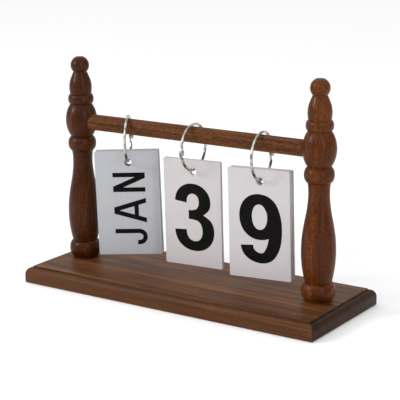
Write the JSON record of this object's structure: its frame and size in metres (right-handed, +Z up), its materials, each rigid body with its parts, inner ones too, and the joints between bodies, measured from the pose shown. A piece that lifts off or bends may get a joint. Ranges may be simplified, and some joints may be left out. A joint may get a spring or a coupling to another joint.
{
  "type": "flip desk calendar",
  "caption": "Desk calendar with turned posts on a moulded wooden base and a dowel crossbar that carries decks of punched flip cards on hinged book rings.",
  "frame": {"origin": "middle of the base's underside", "axes": "+X along the base's length, to the right when the cards are read; -Y towards the reader; +Z up"},
  "size_m": [0.25, 0.094, 0.1683],
  "materials": {
    "base_wood": "walnut-stained plank with a satin lacquer, grain along the length",
    "post_wood": "red-brown stained turnings with a glossy lacquer",
    "bar_wood": "lighter stained dowel with a thin satin lacquer",
    "ring_nickel": "bright nickel plate on round wire",
    "card_stock": "uncoated white card with black print",
    "screw_steel": "zinc-plated wood screw"
  },
  "bodies": {
    "stand": {"base": "base_wood", "left_post": "post_wood", "right_post": "post_wood", "crossbar": "bar_wood", "left_screw": "screw_steel", "right_screw": "screw_steel"},
    "month_ring": {"month_ring_lower_half": "ring_nickel", "month_ring_rivet": "ring_nickel"},
    "month_ring_upper": {"month_ring_upper_half": "ring_nickel"},
    "month_card_dec": {"month_card_dec": "card_stock"},
    "month_card_nov": {"month_card_nov": "card_stock"},
    "month_card_oct": {"month_card_oct": "card_stock"},
    "month_card_sep": {"month_card_sep": "card_stock"},
    "month_card_aug": {"month_card_aug": "card_stock"},
    "month_card_jul": {"month_card_jul": "card_stock"},
    "month_card_jun": {"month_card_jun": "card_stock"},
    "month_card_may": {"month_card_may": "card_stock"},
    "month_card_apr": {"month_card_apr": "card_stock"},
    "month_card_mar": {"month_card_mar": "card_stock"},
    "month_card_feb": {"month_card_feb": "card_stock"},
    "month_card_jan": {"month_card_jan": "card_stock"},
    "tens_ring": {"tens_ring_lower_half": "ring_nickel", "tens_ring_rivet": "ring_nickel"},
    "tens_ring_upper": {"tens_ring_upper_half": "ring_nickel"},
    "tens_card_2": {"tens_card_2": "card_stock"},
    "tens_card_1": {"tens_card_1": "card_stock"},
    "tens_card_0": {"tens_card_0": "card_stock"},
    "tens_card_3": {"tens_card_3": "card_stock"},
    "units_ring": {"units_ring_lower_half": "ring_nickel", "units_ring_rivet": "ring_nickel"},
    "units_ring_upper": {"units_ring_upper_half": "ring_nickel"},
    "units_card_8": {"units_card_8": "card_stock"},
    "units_card_7": {"units_card_7": "card_stock"},
    "units_card_6": {"units_card_6": "card_stock"},
    "units_card_5": {"units_card_5": "card_stock"},
    "units_card_4": {"units_card_4": "card_stock"},
    "units_card_3": {"units_card_3": "card_stock"},
    "units_card_2": {"units_card_2": "card_stock"},
    "units_card_1": {"units_card_1": "card_stock"},
    "units_card_0": {"units_card_0": "card_stock"},
    "units_card_9": {"units_card_9": "card_stock"}
  },
  "joints": [
    {"name": "month_ring_swing", "type": "hinge", "parent": "stand", "child": "month_ring", "pos_m": [-0.0592, 0, 0.1194], "axis": [1, 0, 0], "range_deg": [-30, 4]},
    {"name": "month_ring_open", "type": "hinge", "parent": "month_ring", "child": "month_ring_upper", "pos_m": [-0.06724, 0.01462, 0.10874], "axis": [-0.8763, -0.4818, 0], "range_deg": [0, 60]},
    {"name": "month_flip_dec", "type": "hinge", "parent": "month_ring", "child": "month_card_dec", "pos_m": [-0.0592, 0, 0.1102], "axis": [-0.8763, -0.4818, 0], "range_deg": [0, 3]},
    {"name": "month_flip_nov", "type": "hinge", "parent": "month_card_dec", "child": "month_card_nov", "pos_m": [-0.0592, 0, 0.1102], "axis": [-0.8763, -0.4818, 0], "range_deg": [0, 3]},
    {"name": "month_flip_oct", "type": "hinge", "parent": "month_card_nov", "child": "month_card_oct", "pos_m": [-0.0592, 0, 0.1102], "axis": [-0.8763, -0.4818, 0], "range_deg": [0, 3]},
    {"name": "month_flip_sep", "type": "hinge", "parent": "month_card_oct", "child": "month_card_sep", "pos_m": [-0.0592, 0, 0.1102], "axis": [-0.8763, -0.4818, 0], "range_deg": [0, 3]},
    {"name": "month_flip_aug", "type": "hinge", "parent": "month_card_sep", "child": "month_card_aug", "pos_m": [-0.0592, 0, 0.1102], "axis": [-0.8763, -0.4818, 0], "range_deg": [0, 3]},
    {"name": "month_flip_jul", "type": "hinge", "parent": "month_card_aug", "child": "month_card_jul", "pos_m": [-0.0592, 0, 0.1102], "axis": [-0.8763, -0.4818, 0], "range_deg": [0, 3]},
    {"name": "month_flip_jun", "type": "hinge", "parent": "month_card_jul", "child": "month_card_jun", "pos_m": [-0.0592, 0, 0.1102], "axis": [-0.8763, -0.4818, 0], "range_deg": [0, 3]},
    {"name": "month_flip_may", "type": "hinge", "parent": "month_card_jun", "child": "month_card_may", "pos_m": [-0.0592, 0, 0.1102], "axis": [-0.8763, -0.4818, 0], "range_deg": [0, 3]},
    {"name": "month_flip_apr", "type": "hinge", "parent": "month_card_may", "child": "month_card_apr", "pos_m": [-0.0592, 0, 0.1102], "axis": [-0.8763, -0.4818, 0], "range_deg": [0, 3]},
    {"name": "month_flip_mar", "type": "hinge", "parent": "month_card_apr", "child": "month_card_mar", "pos_m": [-0.0592, 0, 0.1102], "axis": [-0.8763, -0.4818, 0], "range_deg": [0, 3]},
    {"name": "month_flip_feb", "type": "hinge", "parent": "month_card_mar", "child": "month_card_feb", "pos_m": [-0.0592, 0, 0.1102], "axis": [-0.8763, -0.4818, 0], "range_deg": [0, 3]},
    {"name": "month_flip_jan", "type": "hinge", "parent": "month_card_feb", "child": "month_card_jan", "pos_m": [-0.0592, 0, 0.1102], "axis": [-0.8763, -0.4818, 0], "range_deg": [0, 47]},
    {"name": "tens_ring_swing", "type": "hinge", "parent": "stand", "child": "tens_ring", "pos_m": [-0.0003, 0, 0.1194], "axis": [1, 0, 0], "range_deg": [-30, 20]},
    {"name": "tens_ring_open", "type": "hinge", "parent": "tens_ring", "child": "tens_ring_upper", "pos_m": [0.00057, -0.01666, 0.10874], "axis": [0.9986, 0.0523, 0], "range_deg": [0, 60]},
    {"name": "tens_flip_2", "type": "hinge", "parent": "tens_ring", "child": "tens_card_2", "pos_m": [-0.0003, 0, 0.1102], "axis": [-0.9986, -0.0523, 0], "range_deg": [0, 8]},
    {"name": "tens_flip_1", "type": "hinge", "parent": "tens_card_2", "child": "tens_card_1", "pos_m": [-0.0003, 0, 0.1102], "axis": [-0.9986, -0.0523, 0], "range_deg": [0, 8]},
    {"name": "tens_flip_0", "type": "hinge", "parent": "tens_card_1", "child": "tens_card_0", "pos_m": [-0.0003, 0, 0.1102], "axis": [-0.9986, -0.0523, 0], "range_deg": [0, 8]},
    {"name": "tens_flip_3", "type": "hinge", "parent": "tens_card_0", "child": "tens_card_3", "pos_m": [-0.0003, 0, 0.1102], "axis": [-0.9986, -0.0523, 0], "range_deg": [0, 36]},
    {"name": "units_ring_swing", "type": "hinge", "parent": "stand", "child": "units_ring", "pos_m": [0.0572, 0, 0.1194], "axis": [1, 0, 0], "range_deg": [-30, 20]},
    {"name": "units_ring_open", "type": "hinge", "parent": "units_ring", "child": "units_ring_upper", "pos_m": [0.05546, 0.01659, 0.10874], "axis": [-0.9945, -0.1045, 0], "range_deg": [0, 60]},
    {"name": "units_flip_8", "type": "hinge", "parent": "units_ring", "child": "units_card_8", "pos_m": [0.0572, 0, 0.1102], "axis": [-0.9945, -0.1045, 0], "range_deg": [0, 3]},
    {"name": "units_flip_7", "type": "hinge", "parent": "units_card_8", "child": "units_card_7", "pos_m": [0.0572, 0, 0.1102], "axis": [-0.9945, -0.1045, 0], "range_deg": [0, 3]},
    {"name": "units_flip_6", "type": "hinge", "parent": "units_card_7", "child": "units_card_6", "pos_m": [0.0572, 0, 0.1102], "axis": [-0.9945, -0.1045, 0], "range_deg": [0, 3]},
    {"name": "units_flip_5", "type": "hinge", "parent": "units_card_6", "child": "units_card_5", "pos_m": [0.0572, 0, 0.1102], "axis": [-0.9945, -0.1045, 0], "range_deg": [0, 3]},
    {"name": "units_flip_4", "type": "hinge", "parent": "units_card_5", "child": "units_card_4", "pos_m": [0.0572, 0, 0.1102], "axis": [-0.9945, -0.1045, 0], "range_deg": [0, 3]},
    {"name": "units_flip_3", "type": "hinge", "parent": "units_card_4", "child": "units_card_3", "pos_m": [0.0572, 0, 0.1102], "axis": [-0.9945, -0.1045, 0], "range_deg": [0, 3]},
    {"name": "units_flip_2", "type": "hinge", "parent": "units_card_3", "child": "units_card_2", "pos_m": [0.0572, 0, 0.1102], "axis": [-0.9945, -0.1045, 0], "range_deg": [0, 3]},
    {"name": "units_flip_1", "type": "hinge", "parent": "units_card_2", "child": "units_card_1", "pos_m": [0.0572, 0, 0.1102], "axis": [-0.9945, -0.1045, 0], "range_deg": [0, 3]},
    {"name": "units_flip_0", "type": "hinge", "parent": "units_card_1", "child": "units_card_0", "pos_m": [0.0572, 0, 0.1102], "axis": [-0.9945, -0.1045, 0], "range_deg": [0, 3]},
    {"name": "units_flip_9", "type": "hinge", "parent": "units_card_0", "child": "units_card_9", "pos_m": [0.0572, 0, 0.1102], "axis": [-0.9945, -0.1045, 0], "range_deg": [0, 53]}
  ]
}
